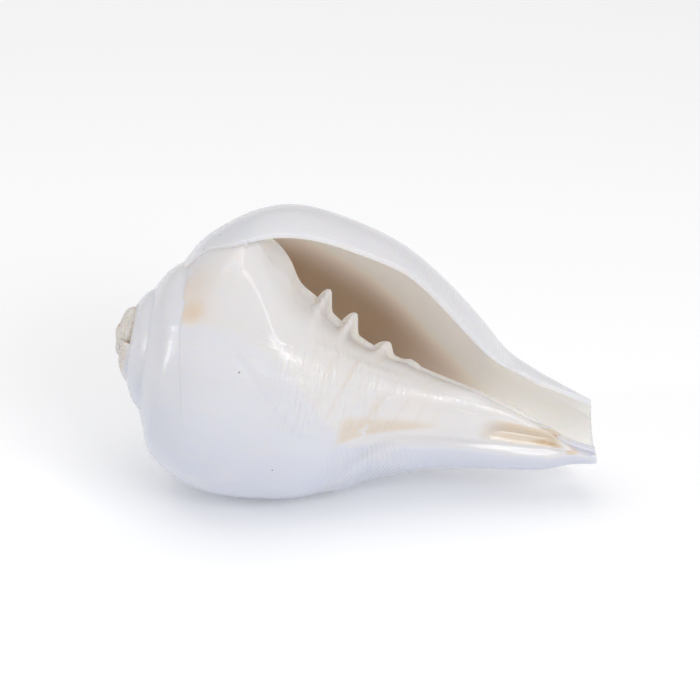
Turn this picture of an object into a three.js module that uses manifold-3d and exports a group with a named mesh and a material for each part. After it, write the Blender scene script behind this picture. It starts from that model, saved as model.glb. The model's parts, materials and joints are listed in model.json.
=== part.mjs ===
// A sacred chank shell, lying on its side with the mouth turned up towards the front.
// Everything is in millimetres. The shell is first worked out in its own frame, where "along" runs on
// the coiling axis from the apex to the end of the canal, "out" is the distance from that axis, and
// "turn" is the angle of growth in degrees. Turn 0 is the top of the last whorl, and the mouth's lip
// stands a little past it. One full turn earlier is 360 degrees less.

import * as THREE from 'three';
import { mergeVertices } from 'three/addons/utils/BufferGeometryUtils.js';
import Module from 'manifold-3d';

// Driving dimensions of the whole shell
const growthPerTurn = 1.55; // every turn is this much larger than the one before
const spireCentre = -3.4; // the point on the axis that the spire shrinks towards
const shoulderReach = 2.2; // the shoulder stands this much nearer the apex half a turn before the top
const baseCentre = 6; // the same for the lower part of the body whorl
const canalEnd = 117; // where the canal ends, on the axis
const canalSlant = 18; // degrees that its end leans back at the top
const canalLowering = 3.4; // how far the floor of the canal drops towards its end

// Outline of the last whorl at turn 0, as [along, out], from inside the suture to the end of the canal
const outerOutline = [
  [10.6, 18.5],
  [12.9, 23.6],
  [15.2, 27.6],
  [19.5, 32.0],
  [25.0, 36.2],
  [31.3, 39.2],
  [39.0, 40.4],
  [51.0, 39.0],
  [61.5, 36.3],
  [72.5, 30.6],
  [83.5, 22.8],
  [91.0, 17.0],
  [98.0, 13.9],
  [107.0, 11.0],
  [119.0, 7.6],
];
const canalHoldStart = 78; // from here to the canal's end the outline stops sliding along the axis
const canalHoldEnd = 104;

// A "span" gives four places: where a thing starts, is full, starts to fade and has ended. A "from" or an
// "until" gives the two places between which a thing comes or goes.

// The lip: the turn at which it ends, and how many degrees its parts stand off that
const lipTurn = 32;
const lipCorner = { turns: -10, until: [12, 22] };
const lipBelly = { turns: 15.5, span: [60, 84, 86, 98] };
const lipAtCanal = { turns: -18, from: [98, 116] };
const lipWarpStart = -20; // the growth steps are evenly stretched from this turn to the lip
const lipThickness = 1.6;
const wallThickness = 3.6;
const wallThickens = 45; // degrees behind the lip at which the wall has its full thickness

// The callus that the animal laid over the front of the body whorl, and its edge as a turn
const callus = { span: [12, 22, 84, 96], backThickness: 5.2, thickness: 2.0, thinsFrom: [30, 46], step: 0.25 };
const callusEdge = { turn: 72, later: 47, from: [20, 54], thinsFromTurn: 30 };

// The umbilicus, a shallow hollow beside the end of the columella
const umbilicus = { turn: 102, halfWidth: 13, depth: 2.4, span: [86, 93, 105, 111] };

// The fasciole, a low ridge of old canal ends below it
const fasciole = { height: 1.3, span: [54, 62, 106, 114], until: [205, 250] };
const fascioleEdge = { turn: 150, later: -28, from: [54, 70], halfWidth: 5 };
const frontSpan = [-30, 6, 225, 250]; // turns of the front on which all this stands

// Outline of the columella at turn 0, as [along, out], from the back corner of the mouth to the canal
const innerOutline = [
  [19.0, 30.4],
  [25.0, 31.2],
  [31.0, 30.8],
  [36.0, 27.2],
  [40.0, 21.4],
  [44.0, 18.2],
  [52.0, 14.6],
  [60.0, 10.9],
  [72.0, 8.2],
  [84.0, 6.0],
  [94.0, 4.2],
  [104.0, 2.4],
  [112.0, 1.4],
  [128.0, 1.0],
];

// The plaits on the columella: where each stands at turn 0, how far it stands out and its half width
const plaits = [
  { along: 47.4, height: 4.7, halfWidth: 1.2 },
  { along: 54.7, height: 4.3, halfWidth: 1.2 },
  { along: 63.9, height: 2.5, halfWidth: 1.45 },
  { along: 70.6, height: 0.8, halfWidth: 1.4 },
];

// The hollow of the mouth: where its floor starts, bends round the plaits and ends, on the axis
const hollowStart = 18.5;
const hollowBend = 66;
const hollowEnd = 126;
const hollowLeavesCanal = [60, 80]; // degrees behind turn 0 between which it draws back from the canal
const hollowRunsOut = { turn: 50, later: 12, from: [84, 94] }; // the turn at which it meets the front
const canalOpens = { turns: 58, at: 94, length: 24 }; // it meets the front later and later down the canal
const hollowSpread = { back: 34, canal: 9, from: [72, 96] }; // half the turns that the meeting takes
const clearOfFront = 2.2;
const beyondLip = { out: 14, from: [-2, 26] }; // past the lip the hollow widens, to come out clear

// The worn first whorls at the apex, and the solid middle of the columella
const knobRadius = 6.6;
const knobFlattening = 0.62;
const knobPlace = 3.4;
const knobLean = 1.1; // how far it stands off the axis, upwards
const knobLumps = 0.055; // as a part of its radius
const rodRadius = 0.9;
const rodStart = 4.5;
const rodEnd = 118.5;
const axisFill = 0.25; // the whorls are filled to this distance from the axis

// How the shell lies: the turn that is lowest, how far the canal points down and the worn resting spot
const lowestTurn = 200;
const canalDrop = 12;
const flatDepth = 0.45;

const radians = THREE.MathUtils.degToRad;
const lerp = THREE.MathUtils.lerp;
const wasm = await Module();
wasm.setup();

function smooth(low, high, value) {
  return THREE.MathUtils.smoothstep(value, low, high);
}

function within([starts, full, fades, ends], value) {
  return smooth(starts, full, value) * (1 - smooth(fades, ends, value));
}

function growth(turn) {
  return growthPerTurn ** (turn / 360);
}

// A smooth outline through the given points, as evenly spaced samples
function sampleOutline(points, count) {
  const corners = points.map(([along, out]) => new THREE.Vector3(along, out, 0));
  const curve = new THREE.CatmullRomCurve3(corners, false, 'centripetal');
  return curve.getSpacedPoints(count).map((point) => [point.x, point.y]);
}

const outerSamples = sampleOutline(outerOutline, 160);

// Where a point of the outer outline stands at a given turn
function growOuter([along, out], turn) {
  const size = growth(turn);
  const centre = lerp(spireCentre, baseCentre, smooth(12, 72, along));
  const underside = turn > -360 && turn < 0 ? (1 - Math.cos(radians(turn))) / 2 : 0;
  const reach = shoulderReach * underside * smooth(13, 20, along) * (1 - smooth(26, 52, along));
  const grown = centre + (along - centre) * size - reach;
  const hold = smooth(canalHoldStart, canalHoldEnd, along);
  return [lerp(grown, along, hold), out * size];
}

// Distance of the outer surface from the axis, at a place along the axis and a turn
function outerRadius(along, turn) {
  let before = growOuter(outerSamples[0], turn);
  for (const sample of outerSamples) {
    const here = growOuter(sample, turn);
    if (here[0] >= along) {
      const part = (along - before[0]) / Math.max(here[0] - before[0], 1e-6);
      return lerp(before[1], here[1], Math.min(Math.max(part, 0), 1));
    }
    before = here;
  }
  return before[1];
}

// The turn at which the lip ends, for a place along the outline
function lipEnd(along) {
  const corner = lipCorner.turns * (1 - smooth(...lipCorner.until, along));
  const belly = lipBelly.turns * within(lipBelly.span, along);
  const canal = lipAtCanal.turns * smooth(...lipAtCanal.from, along);
  return lipTurn + corner + belly + canal;
}

function warpToLip(turn, along) {
  if (turn <= lipWarpStart) {
    return turn;
  }
  const part = (turn - lipWarpStart) / (lipTurn - lipWarpStart);
  return lipWarpStart + part * (lipEnd(along) - lipWarpStart);
}

// A point in the shell's own frame
function place(along, out, turn) {
  return new THREE.Vector3(along, out * Math.cos(radians(turn)), out * Math.sin(radians(turn)));
}

// A closed solid from rings of points: each ring joins the next, and the end rings get the cap's faces
function solidFromRings(rings, cap) {
  const count = rings[0].length;
  const positions = rings.flat().flatMap((point) => point.toArray());
  const index = [];
  for (let ring = 0; ring + 1 < rings.length; ring += 1) {
    for (let side = 0; side < count; side += 1) {
      const next = (side + 1) % count;
      const a = ring * count + side;
      const b = ring * count + next;
      const c = (ring + 1) * count + side;
      const d = (ring + 1) * count + next;
      index.push(a, b, c, b, d, c);
    }
  }
  const last = (rings.length - 1) * count;
  for (const [a, b, c] of cap) {
    index.push(a, c, b);
    index.push(last + a, last + b, last + c);
  }
  return manifoldOf(positions, index);
}

// Cap faces for a ring made of two chains of points, the second one running back beside the first
function ladderCap(firstCount, secondCount) {
  const faces = [];
  let near = 0;
  let far = firstCount + secondCount - 1;
  while (near < firstCount - 1 || far > firstCount) {
    const nearPart = near / (firstCount - 1);
    const farPart = (firstCount + secondCount - 1 - far) / (secondCount - 1);
    const stepNear = near < firstCount - 1 && (nearPart <= farPart || far === firstCount);
    faces.push(stepNear ? [near, near + 1, far] : [near, far - 1, far]);
    near += stepNear ? 1 : 0;
    far -= stepNear ? 0 : 1;
  }
  return faces;
}

function manifoldOf(positions, index) {
  const rough = new THREE.BufferGeometry();
  rough.setAttribute('position', new THREE.Float32BufferAttribute(positions, 3));
  rough.setIndex(index);
  const geometry = mergeVertices(rough, 1e-5);
  const vertProperties = new Float32Array(geometry.attributes.position.array);
  const triVerts = new Uint32Array(geometry.index.array);
  return new wasm.Manifold(new wasm.Mesh({ numProp: 3, vertProperties, triVerts }));
}

function steps(from, to, size) {
  const count = Math.max(Math.round((to - from) / size), 1);
  return Array.from({ length: count + 1 }, (unused, place) => lerp(from, to, place / count));
}

// What stands on the front of the body whorl or is sunk in it
function frontRelief(along, turn) {
  const edge = callusEdge.turn + callusEdge.later * smooth(...callusEdge.from, along);
  const full = lerp(callus.backThickness, callus.thickness, smooth(...callus.thinsFrom, along));
  const laid = full * within(callus.span, along) * (1 - smooth(callusEdge.thinsFromTurn, edge, turn));
  const across = (turn - umbilicus.turn) / umbilicus.halfWidth;
  const sunk = umbilicus.depth * Math.exp(-across * across) * within(umbilicus.span, along);
  const brow = fascioleEdge.turn + fascioleEdge.later * smooth(...fascioleEdge.from, along);
  const risen = smooth(brow - fascioleEdge.halfWidth, brow + fascioleEdge.halfWidth, turn);
  const ridge = fasciole.height * risen * (1 - smooth(...fasciole.until, turn)) * within(fasciole.span, along);
  return (laid + callus.step * (turn < edge) - sunk + ridge) * within(frontSpan, turn);
}

// The solid of the whorls, filled to the axis, from one turn to another. The front that shows below the
// mouth is the surface of one turn earlier, with its relief.
function whorlStretch(fromTurn, toTurn, stepDegrees, samples) {
  const outline = sampleOutline(outerOutline, samples);
  const rings = steps(fromTurn, toTurn, stepDegrees).map((turn) => {
    const ring = outline.map((point) => {
      const warped = warpToLip(turn, point[0]);
      const [along, out] = growOuter(point, warped);
      return place(along, out + frontRelief(along, warped + 360), warped);
    });
    const first = ring[0].x;
    const last = ring[ring.length - 1].x;
    const size = growth(turn);
    ring.push(place(last, axisFill * size, turn));
    ring.push(place(first, axisFill * size, turn));
    return ring;
  });
  return solidFromRings(rings.toReversed(), ladderCap(outline.length, 2));
}

const innerSamples = sampleOutline(innerOutline, 160);

// Distance of the columella and the wall above it from the axis, inside the mouth
function columellaRadius(along, turn) {
  const size = growth(Math.min(turn, 0));
  const grown = along / size;
  let before = innerSamples[0];
  let out = innerSamples[innerSamples.length - 1][1];
  for (const sample of innerSamples) {
    if (sample[0] >= grown) {
      const part = (grown - before[0]) / Math.max(sample[0] - before[0], 1e-6);
      out = lerp(before[1], sample[1], Math.min(Math.max(part, 0), 1));
      break;
    }
    before = sample;
  }
  for (const plait of plaits) {
    const across = (grown - plait.along) / plait.halfWidth;
    out += plait.height * Math.exp(-across * across);
  }
  return out * size;
}

// The turn at which the hollow of the mouth runs out over the front
function mouthEdge(along) {
  const opening = THREE.MathUtils.clamp((along - canalOpens.at) / canalOpens.length, 0, 1);
  const later = hollowRunsOut.later * smooth(...hollowRunsOut.from, along);
  return hollowRunsOut.turn + later + canalOpens.turns * opening ** 2;
}

function hollowInner(along, turn) {
  const edge = mouthEdge(along);
  const spread = lerp(hollowSpread.back, hollowSpread.canal, smooth(...hollowSpread.from, along));
  const part = smooth(edge - spread, edge + spread, turn);
  if (part === 0) {
    return columellaRadius(along, turn);
  }
  const front = outerRadius(along, turn - 360) + frontRelief(along, turn);
  return lerp(columellaRadius(along, turn), front + clearOfFront, part);
}

// Where a place on the hollow's floor stands at a turn
function hollowPlace(spot, turn) {
  const start = spireCentre + (hollowStart - spireCentre) * growth(Math.min(turn, lipTurn));
  const bend = hollowBend * growth(Math.min(turn, 0));
  const drawnBack = growth(turn + hollowLeavesCanal[0]);
  const end = hollowEnd * lerp(1, drawnBack, smooth(...hollowLeavesCanal, -turn));
  return spot < hollowBend
    ? THREE.MathUtils.mapLinear(spot, hollowStart, hollowBend, start, bend)
    : THREE.MathUtils.mapLinear(spot, hollowBend, hollowEnd, bend, end);
}

// The wall's inner surface, which follows the lip. Past the lip it widens, clear of the shell.
function hollowRoof(along, turn) {
  const end = lipEnd(along);
  const followed = turn + (end - lipTurn) * smooth(lipTurn - 2 * wallThickens, lipTurn, turn);
  const wall = lerp(wallThickness, lipThickness, smooth(lipTurn - wallThickens, lipTurn, turn));
  const beyond = beyondLip.out * smooth(...beyondLip.from, turn - lipTurn);
  const surface = outerRadius(Math.min(along, canalEnd), Math.min(followed, end)) - wall + beyond;
  return place(along, Math.max(surface, hollowInner(along, turn) + 0.4), followed);
}

// The hollow of the mouth and the last whorl, with closer steps round the plaits and over the front
function hollowSolid() {
  const turns = [...steps(-240, -90, 16), ...steps(-84, 40, 8), ...steps(45, 110, 5)];
  const floor = [...steps(hollowStart, 43, 3), ...steps(44.5, hollowBend, 1.1), ...steps(68, hollowEnd, 3.4)];
  const roofCount = 20;
  const rings = turns.map((turn) => {
    const ring = floor.map((spot) => {
      const along = hollowPlace(spot, turn);
      const lowered = place(0, canalLowering * smooth(92, canalEnd, along), 155);
      return place(along, hollowInner(along, turn), turn).add(lowered);
    });
    const start = hollowPlace(hollowStart, turn);
    const end = hollowPlace(hollowEnd, turn);
    for (const along of steps(end, start, (start - end) / roofCount)) {
      ring.push(hollowRoof(along, turn));
    }
    return ring;
  });
  return solidFromRings(rings, ladderCap(floor.length, roofCount + 1));
}

// Any closed three.js geometry as a solid
function solidOf(geometry) {
  geometry.deleteAttribute('normal');
  geometry.deleteAttribute('uv');
  const merged = mergeVertices(geometry, 1e-4);
  return manifoldOf(Array.from(merged.attributes.position.array), Array.from(merged.index.array));
}

function apexKnob() {
  const knob = new THREE.SphereGeometry(knobRadius, 18, 10);
  const point = new THREE.Vector3();
  const spots = knob.attributes.position;
  for (let i = 0; i < spots.count; i += 1) {
    point.fromBufferAttribute(spots, i);
    const lump = 1 + knobLumps * (Math.sin(point.y * 1.3 + 1) + Math.sin(point.z * 1.7 + point.x));
    spots.setXYZ(i, point.x * knobFlattening * lump, point.y * lump, point.z * lump);
  }
  knob.translate(knobPlace, knobLean, 0);
  return solidOf(knob);
}

function columellaMiddle() {
  const rod = new THREE.CylinderGeometry(rodRadius, rodRadius, rodEnd - rodStart, 10);
  rod.rotateZ(Math.PI / 2);
  rod.translate((rodStart + rodEnd) / 2, 0, 0);
  return solidOf(rod);
}

// What lies past the slanted end of the canal
function pastTheCanal() {
  const length = 20;
  const block = new THREE.BoxGeometry(length, 80, 80);
  block.translate(length / 2, 0, 0);
  block.rotateZ(radians(canalSlant));
  block.translate(canalEnd, 0, 0);
  return solidOf(block);
}

// The cuts can leave crumbs along a thin edge, and the shell is the largest body
function largest(solid) {
  return solid.decompose().reduce((most, body) => (body.volume() > most.volume() ? body : most));
}

// Each stretch is less than one turn long, so that it doesn't run into itself, and overlaps the next
const stretch = 340;
const overlap = 8;
const lastWhorl = whorlStretch(lipTurn - stretch, lipTurn, 7.2, 30);
const secondWhorl = whorlStretch(lipTurn - 2 * stretch, lipTurn - stretch + overlap, 9, 30);
const firstWhorl = whorlStretch(lipTurn - 3 * stretch, lipTurn - 2 * stretch + overlap, 17, 22);
const whorls = lastWhorl.add(secondWhorl).add(firstWhorl);
const grownSolid = whorls.add(apexKnob()).add(columellaMiddle());
const shell = largest(grownSolid.subtract(hollowSolid()).subtract(pastTheCanal()));

function restFrame() {
  const along = new THREE.Vector3(Math.cos(radians(canalDrop)), 0, -Math.sin(radians(canalDrop)));
  const lowest = new THREE.Vector3(-Math.sin(radians(canalDrop)), 0, -Math.cos(radians(canalDrop)));
  const front = new THREE.Vector3(0, -1, 0);
  const turned = (turn) => {
    const angle = radians(lowestTurn - turn);
    return lowest.clone().multiplyScalar(Math.cos(angle)).addScaledVector(front, Math.sin(angle));
  };
  return new THREE.Matrix4().makeBasis(along, turned(0), turned(90));
}

function geometryOf(solid) {
  const mesh = solid.getMesh();
  const geometry = new THREE.BufferGeometry();
  geometry.setAttribute('position', new THREE.BufferAttribute(mesh.vertProperties, 3));
  geometry.setIndex(new THREE.BufferAttribute(mesh.triVerts, 1));
  return geometry;
}

// Lays the shell down, wears the resting spot flat and stands it on the floor, centred over the origin
function layDown(solid) {
  const lying = geometryOf(solid).applyMatrix4(restFrame());
  lying.computeBoundingBox();
  const floor = lying.boundingBox.min.z + flatDepth;
  const below = new THREE.BoxGeometry(300, 300, 40).translate(0, 0, floor - 20);
  const worn = geometryOf(largest(solidOf(lying).subtract(solidOf(below))));
  worn.computeBoundingBox();
  const box = worn.boundingBox;
  return worn.translate(-(box.min.x + box.max.x) / 2, -(box.min.y + box.max.y) / 2, -box.min.z);
}

const white = new THREE.MeshStandardMaterial({ color: 0xe9e9ee, roughness: 0.3, metalness: 0 });
const body = new THREE.Mesh(layDown(shell), white);
body.name = 'shell';
const group = new THREE.Group();
group.add(body);

export default group;
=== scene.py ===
"""A sacred chank shell: the fine mesh, its finish, a pale floor and soft studio light."""

import json
import math

import bpy
import numpy as np
from mathutils import Matrix, Vector

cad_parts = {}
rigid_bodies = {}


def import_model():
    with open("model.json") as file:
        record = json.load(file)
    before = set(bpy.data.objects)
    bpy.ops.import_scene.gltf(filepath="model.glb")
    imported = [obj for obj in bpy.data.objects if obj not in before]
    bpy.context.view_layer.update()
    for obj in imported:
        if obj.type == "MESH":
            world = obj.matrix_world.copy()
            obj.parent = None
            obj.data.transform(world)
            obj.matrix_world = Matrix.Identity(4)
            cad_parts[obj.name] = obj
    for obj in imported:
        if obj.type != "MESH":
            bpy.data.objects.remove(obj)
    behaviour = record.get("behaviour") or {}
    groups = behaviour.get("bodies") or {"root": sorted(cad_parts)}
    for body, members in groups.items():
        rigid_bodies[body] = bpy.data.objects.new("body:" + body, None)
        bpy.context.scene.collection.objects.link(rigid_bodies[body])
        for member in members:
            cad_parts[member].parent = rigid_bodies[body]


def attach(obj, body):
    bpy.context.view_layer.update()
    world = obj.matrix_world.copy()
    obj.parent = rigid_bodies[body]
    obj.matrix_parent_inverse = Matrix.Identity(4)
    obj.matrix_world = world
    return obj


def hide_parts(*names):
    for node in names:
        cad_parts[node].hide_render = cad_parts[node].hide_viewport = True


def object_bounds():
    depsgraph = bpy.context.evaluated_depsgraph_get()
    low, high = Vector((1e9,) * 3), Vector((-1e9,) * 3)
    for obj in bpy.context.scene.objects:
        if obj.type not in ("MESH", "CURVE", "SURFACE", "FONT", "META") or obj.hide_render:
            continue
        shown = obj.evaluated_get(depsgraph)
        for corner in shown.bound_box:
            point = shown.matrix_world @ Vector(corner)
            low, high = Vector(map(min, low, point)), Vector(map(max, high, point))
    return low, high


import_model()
cad_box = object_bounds()


# How the shell grows.
# In the shell's own frame "along" runs on the coiling axis from the apex to the end of the canal, "out"
# is the distance from that axis and "turn" is the angle of growth: 0 at the top of the last whorl, and
# one full turn earlier is 360 less. Sizes are in millimetres and angles in degrees.
FULL_TURN = 360
GROWTH_PER_TURN = 1.55
SPIRE_CENTRE = -3.4
BASE_CENTRE = 6
SHOULDER_REACH = 2.2
OUTER_OUTLINE = [
    (10.6, 18.5), (12.9, 23.6), (15.2, 27.6), (19.5, 32.0), (25.0, 36.2),
    (31.3, 39.2), (39.0, 40.4), (51.0, 39.0), (61.5, 36.3), (72.5, 30.6),
    (83.5, 22.8), (91.0, 17.0), (98.0, 13.9), (107.0, 11.0), (119.0, 7.6),
]
OUTLINE_SAMPLES = 160
SAMPLES_BETWEEN_POINTS = 40
LIP_TURN = 32
LIP_WARP_START = -20
LIP_THICKNESS = 1.6


def smooth(low, high, value):
    """0 below low, 1 above high and smooth between them."""
    part = np.clip((value - low) / (high - low), 0, 1)
    return part * part * (3 - 2 * part)


def mix(start, end, part):
    return start + (end - start) * part


def growth(turn):
    """How large the shell is at a turn, with 1 at the top of the last whorl."""
    return GROWTH_PER_TURN ** (turn / FULL_TURN)


def curve_through(points, count):
    """Evenly spaced points on a smooth line through the given ones."""
    knots = np.array(points, dtype=float)
    knots = np.vstack([2 * knots[0] - knots[1], knots, 2 * knots[-1] - knots[-2]])
    line = []
    for a, b, c, d in zip(knots, knots[1:], knots[2:], knots[3:]):
        t1 = np.linalg.norm(b - a) ** 0.5
        t2 = t1 + np.linalg.norm(c - b) ** 0.5
        t3 = t2 + np.linalg.norm(d - c) ** 0.5
        t = np.linspace(t1, t2, SAMPLES_BETWEEN_POINTS, endpoint=False)[:, None]
        ab = mix(a, b, t / t1)
        bc = mix(b, c, (t - t1) / (t2 - t1))
        cd = mix(c, d, (t - t2) / (t3 - t2))
        abc = mix(ab, bc, t / t2)
        bcd = mix(bc, cd, (t - t1) / (t3 - t1))
        line.append(mix(abc, bcd, (t - t1) / (t2 - t1)))
    line = np.vstack([*line, knots[-2:-1]])
    length = np.append(0, np.cumsum(np.linalg.norm(np.diff(line, axis=0), axis=1)))
    spots = np.linspace(0, length[-1], count)
    return np.stack([np.interp(spots, length, line[:, axis]) for axis in (0, 1)], axis=1)


outer_samples = curve_through(OUTER_OUTLINE, OUTLINE_SAMPLES)


def grow_outer(outline, turn):
    """Where the points of the outer outline stand at a turn."""
    along, out = outline[:, 0], outline[:, 1]
    size = growth(turn)
    centre = mix(SPIRE_CENTRE, BASE_CENTRE, smooth(12, 72, along))
    underside = np.where((turn > -FULL_TURN) & (turn < 0), (1 - np.cos(np.radians(turn))) / 2, 0)
    reach = SHOULDER_REACH * underside * smooth(13, 20, along) * (1 - smooth(26, 52, along))
    grown = centre + (along - centre) * size - reach
    return mix(grown, along, smooth(78, 104, along)), out * size


def outer_radius(along, turn):
    """How far the outer surface is from the axis, for places along the axis at one turn."""
    return np.interp(along, *grow_outer(outer_samples, turn))


def place(along, out, turn):
    """Points in the shell's own frame."""
    angle = np.radians(turn)
    return np.stack(np.broadcast_arrays(along, out * np.cos(angle), out * np.sin(angle)), axis=-1)


def lip_end(along):
    """The turn at which the lip ends, for places along the outline."""
    corner = -10 * (1 - smooth(12, 22, along))
    belly = 15.5 * smooth(60, 84, along) * (1 - smooth(86, 98, along))
    canal = -18 * smooth(98, 116, along)
    return LIP_TURN + corner + belly + canal


def warp_to_lip(turn, along):
    """Stretches or shortens the last turns so that they end on the lip."""
    part = max(turn - LIP_WARP_START, 0) / (LIP_TURN - LIP_WARP_START)
    return min(turn, LIP_WARP_START) + part * (lip_end(along) - LIP_WARP_START)


def front_relief(along, turn, body):
    """The callus, the fasciole and the umbilicus on the front of the body whorl, as a height."""
    edge = 72 + 47 * smooth(20, 54, along)
    thick = mix(5.2, 2.0, smooth(30, 46, along)) * smooth(12, 22, along) * (1 - smooth(84, 96, along))
    callus = thick * (1 - smooth(30, edge, turn)) + 0.25 * (1 - smooth(edge - 2, edge + 0.5, turn))
    across = (turn - 102) / 13
    umbilicus = 2.4 * np.exp(-across * across) * smooth(86, 93, along) * (1 - smooth(105, 111, along))
    brow = 150 - 28 * smooth(54, 70, along)
    fasciole = 1.3 * smooth(brow - 3, brow + 7, turn) * (1 - smooth(205, 250, turn))
    fasciole = fasciole * smooth(54, 62, along) * (1 - smooth(106, 114, along))
    lip_floor = outer_radius(along, LIP_TURN) - 0.7 * LIP_THICKNESS
    fillet = (1 - smooth(LIP_TURN - 6, 60, turn)) ** 1.6
    fillet = fillet * smooth(11, 15, along) * (1 - smooth(24, 32, along))
    callus = callus + (lip_floor - body - callus) * fillet
    return (callus - umbilicus + fasciole) * smooth(-30, 6, turn) * (1 - smooth(225, 250, turn))


# How the shell lies.
# One turn is lowest, the canal points a little down, and the apex stands where the flat resting spot
# comes onto the floor, at height 0.
LOWEST_TURN = 200
CANAL_DROP = 12
APEX = (-57.240, -3.650, 39.981)
METRES = 0.001
drop = math.radians(CANAL_DROP)
lowest = Vector((-math.sin(drop), 0, -math.cos(drop)))
axis_line = Vector((math.cos(drop), 0, -math.sin(drop)))


def turned(turn):
    angle = math.radians(LOWEST_TURN - turn)
    return lowest * math.cos(angle) + Vector((0, -1, 0)) * math.sin(angle)


lying = Matrix((axis_line, turned(0), turned(90))).transposed()


def lay(piece, points):
    """Puts the mesh's points where the shell's own frame says, with the shell lying down."""
    spots = (points @ np.array(lying).T + np.array(APEX)) * METRES
    piece.data.vertices.foreach_set("co", spots.ravel())
    piece.data.update()


def sheet(name, rings):
    """A closed skin of quads through rings of points, with its seam and its ends welded shut."""
    rows, columns = rings.shape[:2]
    bpy.ops.object.select_all(action="DESELECT")
    bpy.ops.mesh.primitive_grid_add(x_subdivisions=columns - 1, y_subdivisions=rows - 1, size=1)
    piece = bpy.context.object
    piece.name = name
    lay(piece, rings.reshape(-1, 3))
    bpy.ops.object.mode_set(mode="EDIT")
    bpy.ops.mesh.select_all(action="SELECT")
    bpy.ops.mesh.remove_doubles(threshold=2e-6)
    bpy.ops.mesh.normals_make_consistent(inside=False)
    bpy.ops.object.mode_set(mode="OBJECT")
    return piece


ROWS_TO_CLOSE_START = 6
ROWS_TO_CLOSE_END = 12


def closed_rings(near, far):
    """Rings made of two chains of points, the far one running back, and both ends drawn shut."""
    def ring(part_near, part_far):
        return np.concatenate([part_near, part_far[::-1], part_near[:1]])

    rows = [ring(a, b) for a, b in zip(near, far)]
    opening = np.linspace(1, 0, ROWS_TO_CLOSE_START + 1)[:-1]
    closing = np.linspace(0, 1, ROWS_TO_CLOSE_END + 1)[1:]
    start = [ring(mix(near[0], far[0], part), far[0]) for part in opening]
    end = [ring(mix(near[-1], far[-1], part), far[-1]) for part in closing]
    return np.array([*start, *rows, *end])


def join_or_cut(piece, other, operation):
    """Joins the other piece to this one, or cuts it away, as one clean solid."""
    bpy.ops.object.select_all(action="DESELECT")
    bpy.context.view_layer.objects.active = piece
    piece.select_set(True)
    change = piece.modifiers.new(operation.lower(), "BOOLEAN")
    change.operation = operation
    change.solver = "MANIFOLD"
    change.object = other
    bpy.ops.object.modifier_apply(modifier=change.name)
    bpy.data.objects.remove(other)


# The finish.
# Polished white shell, greyer and bluer underneath with painted shade, with a warmer callus over the front,
# tan stains, and a cream to brown lining inside the mouth, its brown partly painted shade, and a painted
# glow inside.
class Value:
    """A number or a colour in a material, so that its sums read as plain expressions."""

    def __init__(self, finish, socket):
        self.finish = finish
        self.socket = socket

    def maths(self, operation, first, second=0.0):
        node = self.finish.node("ShaderNodeMath", {"operation": operation}, {0: first, 1: second})
        return Value(self.finish, node.outputs[0])

    def __add__(self, other):
        return self.maths("ADD", self, other)

    def __radd__(self, other):
        return self.maths("ADD", other, self)

    def __sub__(self, other):
        return self.maths("SUBTRACT", self, other)

    def __rsub__(self, other):
        return self.maths("SUBTRACT", other, self)

    def __mul__(self, other):
        return self.maths("MULTIPLY", self, other)

    def __rmul__(self, other):
        return self.maths("MULTIPLY", other, self)

    def __truediv__(self, other):
        return self.maths("DIVIDE", self, other)

    def __pow__(self, other):
        return self.maths("POWER", self, other)

    def __lt__(self, other):
        return self.maths("LESS_THAN", self, other)

    def at_least(self, other):
        return self.maths("MAXIMUM", self, other)

    def at_most(self, other):
        return self.maths("MINIMUM", self, other)

    def sine(self):
        return self.maths("SINE", self)

    def smooth(self, low, high):
        """0 at low, 1 at high and smooth between them. Low may be the greater."""
        settings = {"interpolation_type": "SMOOTHSTEP"}
        inputs = {"Value": self, "From Min": low, "From Max": high}
        node = self.finish.node("ShaderNodeMapRange", settings, inputs)
        return Value(self.finish, node.outputs["Result"])


class Finish:
    """A material under construction."""

    def __init__(self, name):
        self.material = bpy.data.materials.new(name)
        self.material.use_nodes = True
        self.tree = self.material.node_tree
        self.tree.nodes.clear()

    def node(self, kind, settings, inputs):
        node = self.tree.nodes.new(kind)
        for key, value in settings.items():
            setattr(node, key, value)
        for key, value in inputs.items():
            if isinstance(value, Value):
                self.tree.links.new(value.socket, node.inputs[key])
            else:
                node.inputs[key].default_value = value
        return node

    def output(self, node, name):
        return Value(self, node.outputs[name])

    def attribute(self, name):
        node = self.node("ShaderNodeAttribute", {"attribute_name": name}, {})
        return self.output(node, "Fac")

    def noise(self, vector, scale, detail=2.0, roughness=0.5):
        inputs = {"Vector": vector, "Scale": scale, "Detail": detail, "Roughness": roughness}
        return self.output(self.node("ShaderNodeTexNoise", {}, inputs), "Fac")

    def blend(self, part, first, second):
        """The first colour where part is 0 and the second where it is 1."""
        inputs = {0: part, 6: first, 7: second}
        return Value(self, self.node("ShaderNodeMix", {"data_type": "RGBA"}, inputs).outputs[2])

    def vector(self, x, y, z):
        return self.output(self.node("ShaderNodeCombineXYZ", {}, {0: x, 1: y, 2: z}), "Vector")

    def surface(self, inputs):
        """Ends the material with one surface made of these inputs."""
        bsdf = self.node("ShaderNodeBsdfPrincipled", {}, inputs)
        self.node("ShaderNodeOutputMaterial", {}, {"Surface": self.output(bsdf, "BSDF")})
        return self.material


def colour(red, green, blue):
    """A colour on the 0 to 255 scale of a screen, as light."""
    parts = [c / 255 for c in (red, green, blue)]
    return tuple(c / 12.92 if c < 0.04045 else ((c + 0.055) / 1.055) ** 2.4 for c in parts) + (1.0,)


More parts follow.
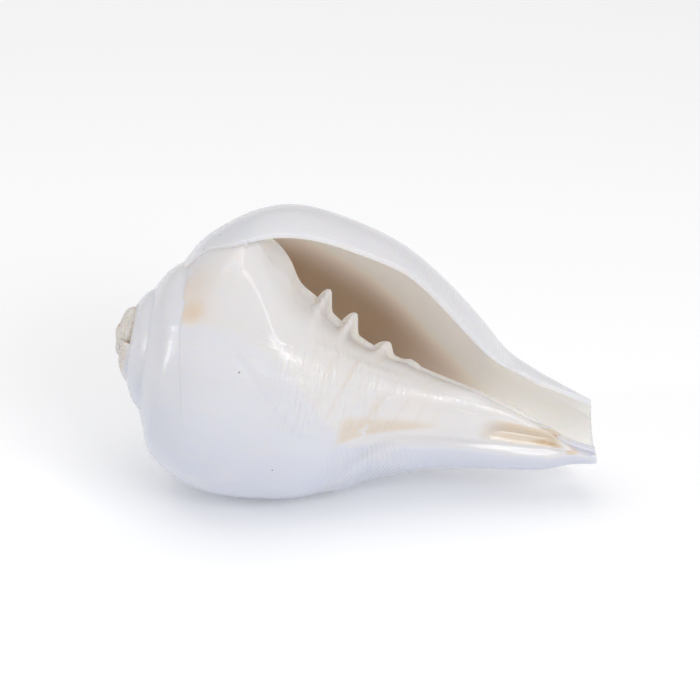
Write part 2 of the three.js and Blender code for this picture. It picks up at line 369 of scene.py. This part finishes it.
BLACK = colour(0, 0, 0)
UPPER_WHITE = colour(226, 226, 231)
# Painted shade: the white of the lower side, darker and a little bluer
SHADED_LOWER_WHITE = colour(208, 212, 225)
WARM_WHITE = colour(228, 224, 221)
CALLUS_WHITE = colour(230, 226, 223)
GROWTH_LINE_CREAM = colour(226, 219, 210)
CORNER_TAN = colour(228, 207, 184)
HEART_TAN = colour(222, 194, 156)
STREAK_TAN = colour(218, 194, 168)
PATCH_TAN = colour(220, 203, 182)
UMBILICUS_CREAM = colour(220, 201, 174)
UMBILICUS_BROWN = colour(196, 156, 98)
CANAL_BROWN = colour(220, 186, 140)
LINING_CREAM = colour(253, 250, 246)
# Partly painted shade: the lining's own brown, darkened to stand for the shade deep in the mouth
LINING_BROWN_AND_SHADE = colour(196, 174, 150)
WORN_GREY = colour(222, 214, 203)
SPECK_ORANGE = colour(176, 116, 62)
PIT_GREY = colour(120, 116, 112)

# Where each pit is along and round the shell, and its half width
PITS = [(18.5, 17.4, 0.35), (15.5, 22.5, 0.3), (29.6, 87.2, 0.3), (42.2, 135.5, 0.3)]


def shell_finish():
    finish = Finish("shell_finish")
    coordinates = finish.node("ShaderNodeTexCoord", {}, {})
    upright = lying.transposed()
    mapping = finish.node("ShaderNodeMapping", {"vector_type": "POINT"}, {
        "Vector": finish.output(coordinates, "Object"),
        "Location": -(upright @ Vector(APEX)),
        "Rotation": upright.to_euler(),
        "Scale": [1 / METRES] * 3,
    })
    point = finish.output(mapping, "Vector")
    parts = finish.node("ShaderNodeSeparateXYZ", {}, {"Vector": point})
    along, up, front = (finish.output(parts, axis) for axis in "XYZ")
    angle = front.maths("ARCTAN2", front, up) * (180 / math.pi)
    turn = angle + (angle < -70) * FULL_TURN
    inner_turn = turn - (1 - (turn < 150)) * FULL_TURN
    out = (up * up + front * front) ** 0.5
    inside = finish.attribute("inside")
    last = finish.attribute("last")
    cloud = finish.noise(point, 0.12, 3.0)
    grain = finish.noise(point, 0.9, 4.0, 0.6)
    wide = finish.noise(point, 0.045)
    drift = finish.noise(point, 0.03)

    def spot(centre_along, centre_turn, half_along, half_turn, ragged=0.5, soft=0.45):
        """A stain with a ragged edge: 1 in its middle and 0 outside."""
        across = (along - centre_along) / half_along
        down = (turn - centre_turn) / half_turn
        distance = (across * across + down * down) ** 0.5 + (cloud - 0.5) * ragged
        return distance.smooth(1.0, soft)

    # The lining of the mouth and the canal, which ends short of the edge that the callus covers
    past = (along - 94).at_least(0.0) / 24
    in_canal = along.smooth(78, 88) * (turn - 62 - past * past * 58).smooth(-3, -16)
    lined = inside * (turn.smooth(48, 0) + turn.smooth(150, 180)).at_least(in_canal)
    bare = 1 - lined

    # The callus: a warmer, glossier coat over the front, with a step at its start and a wavy border
    after = (along - 20).at_least(0.0)
    border = (68 + 0.0375 * after * after).at_most(127.0)
    step_line = 11 + 0.00058 * turn * turn
    after_step = (along - step_line).smooth(-0.2, 0.2)
    on_front = (1 - last * turn.smooth(72, 68)) * turn.smooth(8, 12) * turn.smooth(250, 236)
    border_wave = (wide - 0.5) * 14 + (cloud - 0.5) * 5
    on_callus = (turn - border + border_wave).smooth(4, -5) * on_front * after_step * bare

    # The outer surface: bluish white, with painted shade that makes it darker and bluer further down
    painted_shade_below = turn.smooth(80, 160) * turn.smooth(285, 210)
    skin = finish.blend(painted_shade_below, UPPER_WHITE, SHADED_LOWER_WHITE)
    skin = finish.blend(wide.smooth(0.55, 0.8) * 0.4, skin, WARM_WHITE)
    skin = finish.blend(on_callus * (0.35 + 0.5 * wide), skin, CALLUS_WHITE)

    # Stains on the callus: tan in the back corner, faint streaks below the plaits
    corner = (along - step_line).smooth(11, 0.5) * turn.smooth(30, 48) * turn.smooth(74, 64) * on_callus
    skin = finish.blend(corner * (0.2 + 0.6 * cloud), skin, CORNER_TAN)
    heart = spot(16.4, 62, 3.4, 9, 1.6, 0.1) * on_callus
    skin = finish.blend(heart * 0.4, skin, HEART_TAN)
    slanted = finish.vector(along * 0.28 + turn * 0.03, turn * 0.012, 0.0)
    streaks = finish.noise(slanted, 1.0).smooth(0.5, 0.72)
    streaks = streaks * along.smooth(42, 52) * along.smooth(82, 70) * turn.smooth(112, 95)
    skin = finish.blend(streaks * bare * on_front * 0.35, skin, STREAK_TAN)

    # The tan patch above the fasciole, and the umbilicus, brown where it is deepest
    patch = turn.smooth(100, 108) * (turn + (along - 59) * 0.62).smooth(122, 117) * on_front
    patch = patch * along.smooth(54.5, 57) * along.smooth(80, 73)
    patch = patch * (cloud * 0.6 + grain * 0.4).smooth(0.36, 0.48)
    skin = finish.blend(patch * 0.65, skin, PATCH_TAN)
    umbilicus = (turn + (cloud - 0.5) * 5).smooth(83, 90) * turn.smooth(119, 112) * bare
    umbilicus = umbilicus * (along + (wide - 0.5) * 8).smooth(87, 96) * along.smooth(110.5, 107)
    skin = finish.blend(umbilicus * 0.7, skin, UMBILICUS_CREAM)
    deepest = spot(105.5, 112, 5.5, 5, 0.5, 0.1) * bare
    skin = finish.blend(deepest * 0.6, skin, UMBILICUS_BROWN)
    canal_stain = spot(112, 121, 2.2, 8, 0.8)
    skin = finish.blend(canal_stain * 0.5, skin, CANAL_BROWN)

    # Growth lines show as a faint cream
    stretched = finish.vector(along * 0.02, turn * 0.8 + drift * 16, out * 0.02)
    growth_lines = finish.noise(stretched, 1.0, 3.0)
    skin = finish.blend(growth_lines.smooth(0.5, 0.8) * 0.3 * bare, skin, GROWTH_LINE_CREAM)

    # The inside: cream near the lip and in the canal, and brown deep along the columella, partly the
    # lining's own brown and partly painted shade of the deep mouth
    deep_brown_and_shade = (inner_turn + (along - 40) * 0.45).smooth(-25, -50) * along.smooth(98, 60)
    lining_and_shade = finish.blend(deep_brown_and_shade, LINING_CREAM, LINING_BROWN_AND_SHADE)
    skin = finish.blend(lined, skin, lining_and_shade)

    # The worn apex: greyer, rough and specked with orange
    worn = along.smooth(6.0, 3.6) * out.smooth(10.0, 8.0)
    skin = finish.blend(worn * 0.7, skin, WORN_GREY)
    specks = finish.noise(point, 0.55, 3.0, 0.7).smooth(0.6, 0.68)
    skin = finish.blend(worn * specks * 0.8, skin, SPECK_ORANGE)

    # Pits and dark specks
    pits = 0.0
    for pit_along, pit_turn, size in PITS:
        pits = spot(pit_along, pit_turn, size, size * 2, 0.2, 0.3) + pits
    skin = finish.blend(pits * 0.6 * (1 - inside), skin, PIT_GREY)

    # Relief too fine for the mesh, in millimetres: growth lines, spiral lines on the lip, ripples on the
    # callus, the ribs of the fasciole, the step of the callus, pits and the rough apex
    spirals = finish.noise(finish.vector(along * 2.2, turn * 0.012, 0.0), 1.0)
    on_lip_band = last * along.smooth(44, 66) * (1 - turn.smooth(60, 90))
    ripples = finish.noise(finish.vector(along * 0.9 + drift * 3, turn * 0.05, 0.0), 1.0)
    rippled = along.smooth(36, 46) * along.smooth(74, 64) * turn.smooth(58, 66) * turn.smooth(118, 108)
    bend = (turn - 145) / 22
    ribs = ((along + bend * bend * 2.2) * 5.6 + drift * 8).sine()
    ribbed = turn.smooth(121, 128) * turn.smooth(176, 158) * along.smooth(52, 57) * along.smooth(78, 68)
    height = (growth_lines * 0.045 + spirals * (0.015 + 0.2 * on_lip_band)) * bare
    height = height + (ripples * 0.6 + grain * 0.15) * rippled * bare + ribs * 0.07 * ribbed
    height = height + after_step * on_front * turn.smooth(135, 95) * 0.15
    height = height + grain * 0.012 + wide * 1.2 - pits * 0.25
    height = height + worn * finish.noise(point, 0.8, 4.0) * 0.9
    bump = finish.node("ShaderNodeBump", {}, {"Strength": 1.0, "Distance": METRES, "Height": height})

    # Painted light: the lining glows a little by emission, standing in for light that comes through the thin
    # wall
    painted_glow = lined * inner_turn.smooth(25, -20) * along.smooth(116, 98)
    return finish.surface({
        "Base Color": skin,
        "Roughness": 0.14 + 0.12 * cloud + 0.4 * worn + 0.25 * lined - 0.06 * on_callus,
        "Normal": finish.output(bump, "Normal"),
        "IOR": 1.52,
        # Painted light: the colour and strength of the glow inside the mouth
        "Emission Color": finish.blend(painted_glow, BLACK, lining_and_shade),
        "Emission Strength": 0.12,
        "Subsurface Weight": 0.6,
        "Subsurface Radius": (1.0, 0.78, 0.55),
        "Subsurface Scale": 0.004,
    })


# The whorls.
# One wall of shell grows round the axis and each turn is larger than the one before. Here the whorls are
# filled to the axis and joined in three stretches, each just under one turn long. An earlier stretch
# runs on a little under the later one, so that no gap is left.
CORE_RADIUS = 0.25
STRETCH = 340
OVERLAP = 8
TUCK_AT_START = 0.03
TUCK_AT_END = 0.4


def whorl_stretch(name, from_turn, to_turn, rows, columns, tucked=0):
    outline = curve_through(OUTER_OUTLINE, columns)
    near, far = [], []
    for turn in np.linspace(from_turn, to_turn, rows):
        warped = warp_to_lip(turn, outline[:, 0])
        along, out = grow_outer(outline, warped)
        out = out + front_relief(along, warped + FULL_TURN, out)
        past = turn - to_turn + OVERLAP
        out = out - tucked * (TUCK_AT_START * smooth(-4, 0, past) + TUCK_AT_END * smooth(0, OVERLAP, past))
        core = np.linspace(along[0], along[-1], columns)
        near.append(place(along, out, warped))
        far.append(place(core, CORE_RADIUS * growth(turn), turn))
    return sheet(name, closed_rings(near, far))


second_end = LIP_TURN - STRETCH
third_end = LIP_TURN - 2 * STRETCH
shell = whorl_stretch("chank_shell", second_end, LIP_TURN, 190, 120)
second_whorl = whorl_stretch("second_whorl", third_end, second_end + OVERLAP, 150, 100, 1)
join_or_cut(shell, second_whorl, "UNION")
third_whorl = whorl_stretch("third_whorl", third_end - STRETCH, third_end + OVERLAP, 90, 60, 1)
join_or_cut(shell, third_whorl, "UNION")


# The apex.
# The first whorls are worn down to a lumpy knob, a little flattened along the axis.
KNOB_RADIUS = 6.6
KNOB_SHAPE = (0.62, 1, 1)
KNOB_MIDDLE = (3.4, 1.1, 0)
bpy.ops.object.select_all(action="DESELECT")
bpy.ops.mesh.primitive_uv_sphere_add(segments=80, ring_count=44, radius=KNOB_RADIUS)
knob = bpy.context.object
spots = np.array([vertex.co for vertex in knob.data.vertices])
lumps = 1 + 0.05 * np.sin(spots[:, 1] * 1.3 + 1) + 0.04 * np.sin(spots[:, 2] * 1.7 + spots[:, 0])
lay(knob, spots * lumps[:, None] * KNOB_SHAPE + KNOB_MIDDLE)
join_or_cut(shell, knob, "UNION")


# The middle of the columella.
# A thin solid rod of shell on the axis, where the turns of the wall meet.
ROD_RADIUS = 0.9
ROD_START, ROD_END = 4.5, 118.5
around = np.append(np.linspace(0, FULL_TURN, 24, endpoint=False), 0)
rod = [place(spot, ROD_RADIUS, around) for spot in np.linspace(ROD_START, ROD_END, 40)]
tips = [place(spot, 0.0, around) for spot in (ROD_START, ROD_END)]
join_or_cut(shell, sheet("columella_rod", np.array([tips[0], *rod, tips[1]])), "UNION")


# The hollow of the mouth and of the last whorl.
# Cut away, it leaves the lip, the wall and the columella with its four plaits, and it runs out over the
# front of the body whorl. Each plait is its place along the axis, its height and its half width.
INNER_OUTLINE = [
    (19.0, 30.4), (25.0, 31.2), (31.0, 30.8), (36.0, 27.2), (40.0, 21.9), (44.4, 19.4), (52.0, 14.6),
    (60.0, 10.9), (72.0, 8.2), (84.0, 6.0), (94.0, 4.2), (104.0, 2.4), (112.0, 1.4), (128.0, 1.0),
]
PLAITS = [(47.4, 4.2, 1.2), (54.7, 4.3, 1.2), (63.9, 2.5, 1.45), (70.6, 0.8, 1.4)]
PLAIT_SLANT = 0.06
WALL_THICKNESS = 3.6
WALL_THICKENS = 45
LEAST_OPENING = 0.4
CANAL_END = 117
CANAL_LOWERING = 3.4
CANAL_LOWERED_TOWARD = 155.0
INNER_START, INNER_BEND, INNER_END = 18.5, 66, 126
inner_samples = curve_through(INNER_OUTLINE, OUTLINE_SAMPLES)


def columella_radius(along, turn):
    """How far the columella with its plaits reaches from the axis."""
    size = growth(min(turn, 0))
    grown = along / size
    out = np.interp(grown, inner_samples[:, 0], inner_samples[:, 1])
    later = max(turn, 0)
    for at, height, half_width in PLAITS:
        across = grown - at + PLAIT_SLANT * later
        half = half_width * np.where(across < 0, 1.2, 0.8)
        out = out + height * (1 - 0.8 * smooth(10, 65, later)) * np.exp(-np.abs(across / half) ** 2.5)
    return out * size


def mouth_edge(along):
    """The turn at which the hollow runs out over the front."""
    return 50 + 12 * smooth(84, 94, along) + 58 * np.clip((along - 94) / 24, 0, 1) ** 2


def front_radius(along, turn):
    """How far the front of the body whorl is from the axis."""
    body = outer_radius(along, turn - FULL_TURN)
    return body + front_relief(along, max(turn, 0), body)


def hollow_inner(along, turn):
    """The side of the hollow toward the axis: the columella, and then just clear of the front."""
    edge = mouth_edge(along)
    spread = mix(34, 9, smooth(72, 96, along))
    clear = mix(0.35, 2.2, smooth(76, 92, along))
    part = smooth(edge - spread, edge + spread, turn)
    return mix(columella_radius(along, turn), front_radius(along, turn) + clear, part)


def hollow_near(along, turn, start):
    """The inner side of the hollow, with its back corner drawn up to the roof."""
    inner = hollow_inner(along, turn)
    lowered = place(0.0, CANAL_LOWERING * smooth(92, CANAL_END, along), CANAL_LOWERED_TOWARD)
    roof = outer_radius(along, min(turn, LIP_TURN)) - LIP_THICKNESS
    closing = 0.97 * (1 - smooth(start, start + 7, along)) * smooth(-60, 0, turn)
    return place(along, inner + np.maximum(roof - inner, 0) * closing, turn) + lowered


def hollow_far(along, turn):
    """The inner face of the wall, which follows the lip and opens wide in front of it."""
    end = lip_end(along)
    wall = mix(WALL_THICKNESS, LIP_THICKNESS, smooth(LIP_TURN - WALL_THICKENS, LIP_TURN, turn))
    followed = turn + (end - LIP_TURN) * smooth(LIP_TURN - 2 * WALL_THICKENS, LIP_TURN, turn)
    held = np.minimum(followed, end)
    surface = [outer_radius(min(spot, CANAL_END), part) for spot, part in zip(along, held)]
    out = np.array(surface) - wall + 14 * smooth(-2, 26, turn - LIP_TURN)
    return place(along, np.maximum(out, hollow_inner(along, turn) + LEAST_OPENING), followed)


steps = np.concatenate([
    np.arange(INNER_START, 43, 1.3), np.arange(43, INNER_BEND, 0.45), np.linspace(INNER_BEND, INNER_END, 46),
])
near, far = [], []
for turn in [*np.arange(-240, -90, 6), *np.arange(-90, 36, 2.2), *np.arange(36, 111, 1.6)]:
    size = growth(min(turn, LIP_TURN))
    start = SPIRE_CENTRE + (INNER_START - SPIRE_CENTRE) * size + 6 * smooth(-60, 10, turn)
    bend = INNER_BEND * growth(min(turn, 0))
    end = mix(INNER_END, INNER_END * growth(turn + 70), smooth(-80, -60, -turn - 140))
    along = np.interp(steps, [INNER_START, INNER_BEND, INNER_END], [start, bend, end])
    near.append(hollow_near(along, turn, start))
    far.append(hollow_far(np.linspace(start, end, len(steps)), turn))
mouth_hollow = sheet("mouth_hollow", closed_rings(near, far))

# The cut leaves the hollow's faces marked as the inside
sides = [bpy.data.materials.new(name) for name in ("outside", "inside")]
for piece in (shell, mouth_hollow):
    for side in sides:
        piece.data.materials.append(side)
mouth_hollow.data.polygons.foreach_set("material_index", [1] * len(mouth_hollow.data.polygons))
join_or_cut(shell, mouth_hollow, "DIFFERENCE")


# The slanted end of the canal and the flat resting spot.
# The canal ends a little askew to the axis, and the shell is flat where it rests on the floor.
CANAL_SLANT = 18
BLOCK_SIZE = (20, 80, 80)
bpy.ops.object.select_all(action="DESELECT")
bpy.ops.mesh.primitive_cube_add(size=1)
block = bpy.context.object
corners = np.array([vertex.co for vertex in block.data.vertices]) * BLOCK_SIZE + (BLOCK_SIZE[0] / 2, 0, 0)
slant = np.array(Matrix.Rotation(math.radians(CANAL_SLANT), 3, "Z"))
lay(block, corners @ slant.T + (CANAL_END, 0, 0))
join_or_cut(shell, block, "DIFFERENCE")

bpy.ops.object.mode_set(mode="EDIT")
bpy.ops.mesh.select_all(action="SELECT")
bpy.ops.mesh.bisect(plane_co=(0, 0, 0), plane_no=(0, 0, 1), use_fill=True, clear_inner=True)
bpy.ops.mesh.select_all(action="SELECT")
bpy.ops.mesh.remove_doubles(threshold=1e-5)
bpy.ops.object.mode_set(mode="OBJECT")


# The rounding of the callus, and the marks that the finish reads.
# The callus runs into the mouth without an edge, and the joint of the whorls under it doesn't show.
LAST_MARGIN = 0.9
totals = np.zeros((len(shell.data.vertices), 2))
for polygon in shell.data.polygons:
    for vertex in polygon.vertices:
        totals[vertex] += (polygon.material_index != 0, 1)
inside = totals[:, 0] / np.maximum(totals[:, 1], 1)

# The last whorl's outer side, where it stands over the whorl before it
spots = np.array([vertex.co for vertex in shell.data.vertices])
spots = (spots / METRES - np.array(APEX)) @ np.array(lying)
along = spots[:, 0]
turns = np.degrees(np.arctan2(spots[:, 2], spots[:, 1]))
outs = np.hypot(spots[:, 1], spots[:, 2]) + LAST_MARGIN
last = np.abs(turns) > 70
for turn in range(-70, 70, 2):
    near_by = (turns >= turn) & (turns < turn + 2)
    last |= near_by & (outs > outer_radius(along, min(turn + 1, LIP_TURN)))

for name, marks in (("inside", inside == 1), ("last", last)):
    marked = shell.data.attributes.new(name, "FLOAT", "POINT")
    marked.data.foreach_set("value", marks.astype(float))


def smooth_points(chosen, wider, left_out, repeat):
    """Evens out the chosen points and their neighbours, so many steps wide."""
    bpy.ops.object.mode_set(mode="EDIT")
    bpy.ops.mesh.select_mode(type="VERT")
    bpy.ops.mesh.select_all(action="DESELECT")
    bpy.ops.object.mode_set(mode="OBJECT")
    shell.data.vertices.foreach_set("select", chosen)
    bpy.ops.object.mode_set(mode="EDIT")
    for _ in range(wider):
        bpy.ops.mesh.select_more()
    bpy.ops.object.mode_set(mode="OBJECT")
    picked = np.zeros(len(chosen), dtype=bool)
    shell.data.vertices.foreach_get("select", picked)
    shell.data.vertices.foreach_set("select", picked & ~left_out)
    bpy.ops.object.mode_set(mode="EDIT")
    bpy.ops.mesh.vertices_smooth(factor=0.5, repeat=repeat)
    bpy.ops.object.mode_set(mode="OBJECT")


lip = last & (turns < 50) | (turns < 36)
edge = (inside > 0) & (inside < 1) & (turns > 42) & (along < 100) & ~lip
joint = ~last & (inside < 1) & (turns > 49) & (turns < 63) & (along < 80)
smooth_points(edge, 6, lip, 30)
smooth_points(joint, 0, ~joint, 3)

shell.data.polygons.foreach_set("material_index", [0] * len(shell.data.polygons))
shell.data.materials.clear()
for side in sides:
    bpy.data.materials.remove(side)
shell.data.materials.append(shell_finish())
bpy.ops.object.shade_smooth_by_angle(angle=math.radians(38))

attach(shell, "root")
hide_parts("shell")


# The floor, the light and the camera.
# A white floor in soft light from all sides, with a large lamp above, one at the front right that gives
# the callus its shine, and narrow ones for the edge of the lip and the back whorls.
FLOOR_SIZE = 6
FLOOR_WHITE = colour(250, 250, 251)
LAMPS = [
    ("top_light", (-0.15, 0.1, 1.0), 0.8, (0.9, 0.9), 2.4),
    ("front_light", (0.5, -0.75, 0.55), 0.8, (0.35, 0.25), 1.7),
    ("right_light", (0.45, -0.42, 0.78), 0.8, (0.05, 0.6), 0.6),
    ("left_light", (-0.9, -0.15, 0.28), 0.7, (0.05, 0.3), 0.45),
]
LIGHT_ALL_ROUND = 0.46
AZIMUTH, ELEVATION = math.radians(3.1), math.radians(27)
DISTANCE = 0.9
LENS = 192.5
SHIFT = (-0.0111, -0.0021)

bpy.ops.object.select_all(action="DESELECT")
bpy.ops.mesh.primitive_plane_add(size=FLOOR_SIZE)
floor = bpy.context.object
floor.name = "floor"
floor.data.materials.append(Finish("floor_finish").surface({
    "Base Color": FLOOR_WHITE,
    "Roughness": 0.9,
    "Emission Color": FLOOR_WHITE,
    "Emission Strength": 0.13,
}))

middle = (cad_box[0] + cad_box[1]) / 2
for name, direction, distance, size, power in LAMPS:
    spot = middle + Vector(direction).normalized() * distance
    bpy.ops.object.light_add(type="AREA", location=spot)
    light = bpy.context.object
    light.name = name
    light.data.shape = "RECTANGLE"
    light.data.size, light.data.size_y = size
    light.data.energy = power
    light.rotation_euler = (middle - spot).to_track_quat("-Z", "Y").to_euler()

world = bpy.data.worlds.new("pale_world")
bpy.context.scene.world = world
world.use_nodes = True
world.node_tree.nodes["Background"].inputs["Color"].default_value = (1, 1, 1, 1)
world.node_tree.nodes["Background"].inputs["Strength"].default_value = LIGHT_ALL_ROUND
bpy.context.scene.view_settings.view_transform = "Standard"

toward_camera = Vector((
    math.sin(AZIMUTH) * math.cos(ELEVATION),
    -math.cos(AZIMUTH) * math.cos(ELEVATION),
    math.sin(ELEVATION),
))
bpy.ops.object.camera_add(location=middle + toward_camera * DISTANCE)
camera = bpy.context.object
camera.rotation_euler = (-toward_camera).to_track_quat("-Z", "Y").to_euler()
camera.data.sensor_width = 36
camera.data.lens = LENS
camera.data.shift_x, camera.data.shift_y = SHIFT
bpy.context.scene.camera = camera
